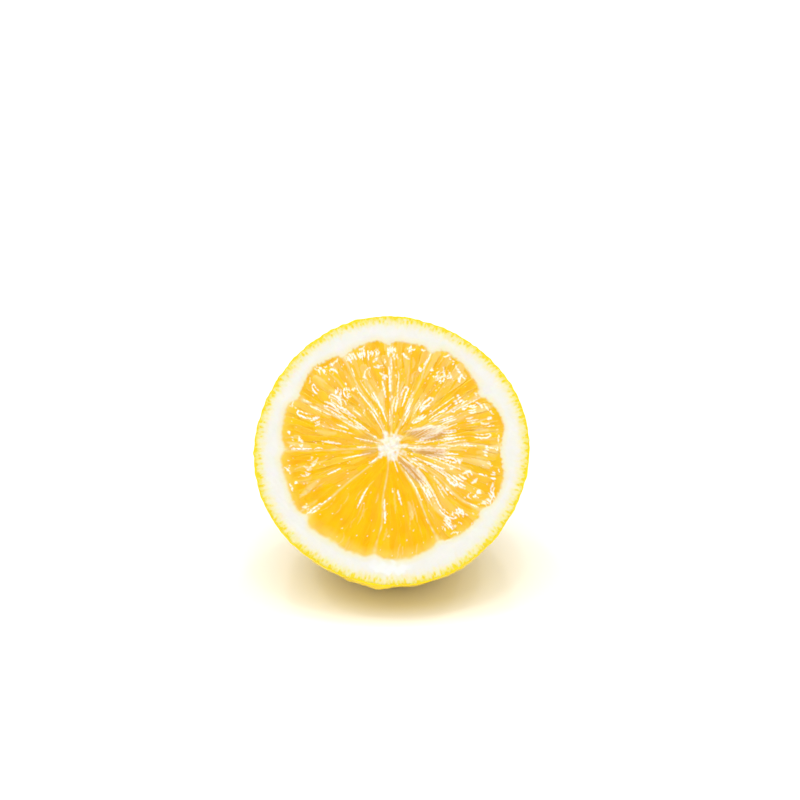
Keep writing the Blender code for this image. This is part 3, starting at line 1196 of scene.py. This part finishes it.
@dataclass(frozen=True)
class Peel:
    """The thin bowl of peel, with its dimples, its nipple and a small bump under the rim."""

    shape: FruitShape = field(default_factory=FruitShape)
    finest: int = 600  # points in the longest rings
    step: float = 0.33  # from one ring of the round side to the next
    first_step: float = 0.14  # from the rim to the first of them
    coarse_rings: int = 6  # how many rings next to the hidden tip have the fewest points
    tip_thickness: float = 2.2
    pore_pitch: float = 1.35  # from one dimple over an oil gland to the next
    pore_width: float = 0.42
    pore_depth: float = 0.085
    folds: int = 7  # round the nipple
    fold_height: float = 0.22
    bump_turn: float = -96.0  # degrees
    bump_depth: float = 2.6
    bump_width: float = 2.3
    bump_height: float = 0.9
    seed: int = 21

    def rings(self) -> RingSheet:
        """Lays out the rings: up the hidden wall, over the lip, and down the outside to the tip.

        Returns:
            The rings.
        """
        sheet = RingSheet(self.finest)
        sheet.add(Detail.POLE, 0.0, self.tip_thickness - self.shape.depth, Side.HIDDEN)
        wall = self.shape.hidden_wall(gap=0.0, least=0.6)
        for number, (radius, height) in enumerate(reversed(wall)):
            detail = Detail.EIGHTH if number < self.coarse_rings else Detail.QUARTER
            sheet.add(detail, radius, height, Side.HIDDEN)
        rim, lip, edge = self.shape.rim_radius, self.shape.lip, self.shape.knife_edge
        sheet.add(Detail.HALF, rim - 0.4, -0.6, Side.HIDDEN)
        sheet.add(Detail.FINE, rim - lip, -edge, Side.CUT)
        sheet.add(Detail.FINE, rim - lip + edge, 0.0, Side.CUT)
        sheet.add(Detail.FINE, rim - 2 * edge, 0.0, Side.CUT)
        sheet.add(Detail.FINE, rim - edge / 2, -edge, Side.ROUND)
        radii, depths, gaps = self.shape.steps(20001)
        travel = np.concatenate([[0], np.cumsum(gaps)])
        steps = (Detail.FINE, 15), (Detail.HALF, 7), (Detail.QUARTER, 3), (Detail.EIGHTH, 0)
        for place in np.arange(self.first_step, travel[-1] - 0.2, self.step):
            radius = float(np.interp(place, travel, radii))
            height = -float(np.interp(place, travel, depths))
            sheet.add(next(d for d, limit in steps if radius >= limit), radius, height, Side.ROUND)
        sheet.add(Detail.POLE, 0.0, -self.shape.depth, Side.ROUND)
        return sheet

    def pores(self) -> Array:
        """Spreads the pores evenly over the round side, with some disorder.

        Returns:
            Their places, a row for each.
        """
        draw = np.random.default_rng(self.seed)
        radii, depths, gaps = self.shape.steps(4001)
        area = np.concatenate([[0], np.cumsum(2 * math.pi * (radii[1:] + radii[:-1]) / 2 * gaps)])
        count = int(area[-1] / (0.866 * self.pore_pitch**2))
        at = (np.arange(count) + 0.5) / count * area[-1]
        turn = np.arange(count) * GOLDEN_TURN
        wide = np.interp(at, area, radii) * (1 + self.shape.unevenness(turn))
        deep = np.interp(at, area, depths)
        places = np.stack([wide * np.cos(turn), wide * np.sin(turn), -deep], axis=1)
        return places + draw.normal(0, 0.24 * self.pore_pitch, places.shape)

    def build(self) -> bpy.types.Object:
        """Makes the piece and dresses it.

        Returns:
            The piece.
        """
        sheet = self.rings()
        turn, height = sheet.turns(), sheet.spread(sheet.heights)
        ripple = self.shape.ripple(turn) * smooth(height, -1.6, 0.0)
        grown = sheet.spread(sheet.radii) * (1 + self.shape.unevenness(turn) + ripple)
        points = np.stack([grown * np.cos(turn), grown * np.sin(turn), height], axis=1)
        push, pore = self.relief(points, sheet.on(Side.ROUND), turn)
        points += self.outward(sheet, turn) * push[:, None]
        piece = make_piece("peel", points, sheet.faces(), {"pore": pore})
        piece.data.materials.append(PeelFinish().material())
        return piece

    def outward(self, sheet: RingSheet, turn: Array) -> Array:
        """The round side's normal at each point, from the slope of its outline.

        Args:
            sheet: the rings.
            turn: each point's angle about the axis.

        Returns:
            The normals, a row for each point.
        """
        along_r, along_z = np.gradient(np.array(sheet.radii)), np.gradient(np.array(sheet.heights))
        size = np.hypot(along_r, along_z) + 1e-9
        wide, tall = sheet.spread(list(-along_z / size)), sheet.spread(list(along_r / size))
        return np.stack([wide * np.cos(turn), wide * np.sin(turn), tall], axis=1)

    def relief(self, points: Array, outside: Array, turn: Array) -> tuple[Array, Array]:
        """How far each point of the outside moves along its normal, and how deep in a pore it is.

        Args:
            points: the points before they move.
            outside: which of them are on the round side.
            turn: each point's angle about the axis.

        Returns:
            The move in millimetres, and the pore mark.
        """
        draw = np.random.default_rng(self.seed + 1)
        places = self.pores()
        depth = self.pore_depth * draw.uniform(0.45, 1.5, len(places))
        tree = KDTree(len(places))
        for number, place in enumerate(places):
            tree.insert(place, number)
        tree.balance()
        push, pore = np.zeros(len(points)), np.zeros(len(points))
        for at in np.flatnonzero(outside):
            for _, number, gap in tree.find_n(points[at], 2):
                dip = math.exp(-((gap / self.pore_width) ** 2))
                push[at] -= depth[number] * dip
                pore[at] = max(pore[at], dip)
        side, spin = points[outside], turn[outside]
        deep = -side[:, 2]
        swell = 0.05 * mottle(side, 2.2, 31) + 0.10 * mottle(side, 7.0, 32)
        folds = self.fold_height * np.cos(self.folds * spin + 1.3 * np.sin(2 * spin))
        swell += folds * smooth(deep, 30, 39) * smooth(np.hypot(side[:, 0], side[:, 1]), 3.0, 8.0)
        where, away = math.radians(self.bump_turn), self.shape.rim_radius
        middle = np.array([away * math.cos(where), away * math.sin(where), -self.bump_depth])
        gap = np.linalg.norm(side - middle, axis=1)
        swell += self.bump_height * np.exp(-((gap / self.bump_width) ** 2))
        push[outside] += swell * smooth(deep, -0.3, 0.6)
        return push, pore


@dataclass(frozen=True)
class TableFinish:
    """White uncoated paper, matt from its loose fibres."""

    white: str = "#F9F9F8"
    roughness: float = 0.6

    def material(self) -> bpy.types.Material:
        """Builds the material.

        Returns:
            The material.
        """
        # Paper has next to no gloss, so the table shows the fruit's soft shadow and nothing else.
        made, tree, shader = new_material("matt_white_paper")
        inputs = {"Base Color": self.white, "Roughness": self.roughness, "Specular IOR Level": 0.2}
        set_inputs(tree, shader, inputs)
        return made


# Where the small lamps hang that make the glints on wet flesh: metres to the right, and behind.
GLINT_LAMPS = ((-0.42, -0.1), (-0.2, 0.12), (0.03, -0.18), (0.1, 0.2), (0.3, -0.02), (0.5, 0.15))


class LampKind(Enum):
    """Blender's kinds of light that the studio has."""

    CEILING = "SUN"
    PANEL = "AREA"


@dataclass(frozen=True)
class Studio:
    """The pale table, the soft lights and the camera."""

    table: float = 6.0  # metres across
    elevation: float = 25.5  # degrees that the camera looks down by
    lens: float = 85.0  # millimetres, as is the sensor's width
    sensor: float = 36.0
    away: float = 428.978  # millimetres from the camera to the middle of the cut
    cut_left: float = 1.93  # how far left of the view's middle the cut's middle is, in millimetres
    cut_below: float = 11.264
    room_light: float = 0.75  # what the white room gives the fruit and the table
    room_seen: float = 0.3  # how much brighter the camera sees it, so that it is white behind them
    ceiling_power: float = 1.3
    ceiling_angle: float = 55.0  # how wide the soft light is in the sky, in degrees
    glint_power: float = 0.3
    glint_size: float = 0.06  # metres, a side of each square lamp
    glint_height: float = 0.72

    def floor(self) -> None:
        """Lays the table top."""
        bpy.ops.mesh.primitive_plane_add(size=self.table)
        floor = bpy.context.object
        floor.name = "table_top"
        floor.data.materials.append(TableFinish().material())

    def light(
        self,
        kind: LampKind,
        name: str,
        place: tuple[float, float, float],
        size: float,
        power: float,
    ) -> None:
        """Adds a light that looks at the fruit.

        Args:
            kind: a soft ceiling, which shows in no reflection, or a square panel, which does.
            name: its name.
            place: where it hangs, in metres.
            size: the ceiling's angle in degrees, or a side of the panel in metres.
            power: how strong it is.
        """
        lamp = bpy.data.lights.new(name, kind.value)
        if kind is LampKind.CEILING:
            lamp.angle = math.radians(size)
        else:
            lamp.size = size
        lamp.energy = power
        holder = bpy.data.objects.new(name, lamp)
        holder.visible_glossy = kind is LampKind.PANEL
        holder.location = place
        aim = Vector((0, 0, 0.03)) - holder.location
        holder.rotation_euler = aim.to_track_quat("-Z", "Y").to_euler()
        bpy.context.scene.collection.objects.link(holder)

    def lights(self) -> None:
        """Lights the stage: a white room, a soft ceiling, and small lamps for the wet glints."""
        world = bpy.data.worlds.new("white_room")
        world.use_nodes = True
        tree = world.node_tree
        seen = add_node(tree, "LightPath", out="Is Camera Ray")
        factors = {0: seen, 1: self.room_seen, 2: self.room_light}
        strength = add_node(tree, "Math", factors, **TIMES_PLUS)
        set_inputs(tree, tree.nodes["Background"], {"Color": "#FFFFFF", "Strength": strength})
        bpy.context.scene.world = world
        place = (-0.12, -0.25, 1.0)
        self.light(LampKind.CEILING, "soft_ceiling", place, self.ceiling_angle, self.ceiling_power)
        for number, (across, behind) in enumerate(GLINT_LAMPS):
            place = (across, behind, self.glint_height)
            self.light(LampKind.PANEL, f"glint_{number}", place, self.glint_size, self.glint_power)

    def camera(self) -> None:
        """Sets up a camera at the viewing angle, with the cut where it stands in the frame."""
        centre = FruitShape().placement().translation
        rise = math.radians(self.elevation)
        place = centre + self.away * MM * Vector((0, -math.cos(rise), math.sin(rise)))
        below = self.cut_below
        aim = centre + MM * Vector((self.cut_left, below * math.sin(rise), below * math.cos(rise)))
        camera = bpy.data.objects.new("camera", bpy.data.cameras.new("camera"))
        camera.data.lens = self.lens
        camera.data.sensor_width = self.sensor
        camera.location = place
        camera.rotation_euler = (aim - place).to_track_quat("-Z", "Y").to_euler()
        bpy.context.scene.collection.objects.link(camera)
        bpy.context.scene.camera = camera

    def build(self) -> None:
        """Sets the stage."""
        self.camera()
        self.floor()
        self.lights()
        bpy.context.scene.view_settings.view_transform = "Standard"


def main() -> None:
    """Builds the stage and the two pieces, and ties the pieces to the CAD part."""
    logging.basicConfig(level=logging.INFO, format="%(name)s: %(message)s")
    Studio().build()
    pieces = [(Flesh().build(), Slot.PULP), (Peel().build(), Slot.PEEL)]
    for piece, slot in pieces:
        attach(piece, "root")
        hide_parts("lemon_half")
        piece.data.calc_loop_triangles()
        LOG.info("%s: %d triangles", piece.name, len(piece.data.loop_triangles))
    bpy.context.view_layer.update()


if __name__ == "__main__":
    main()
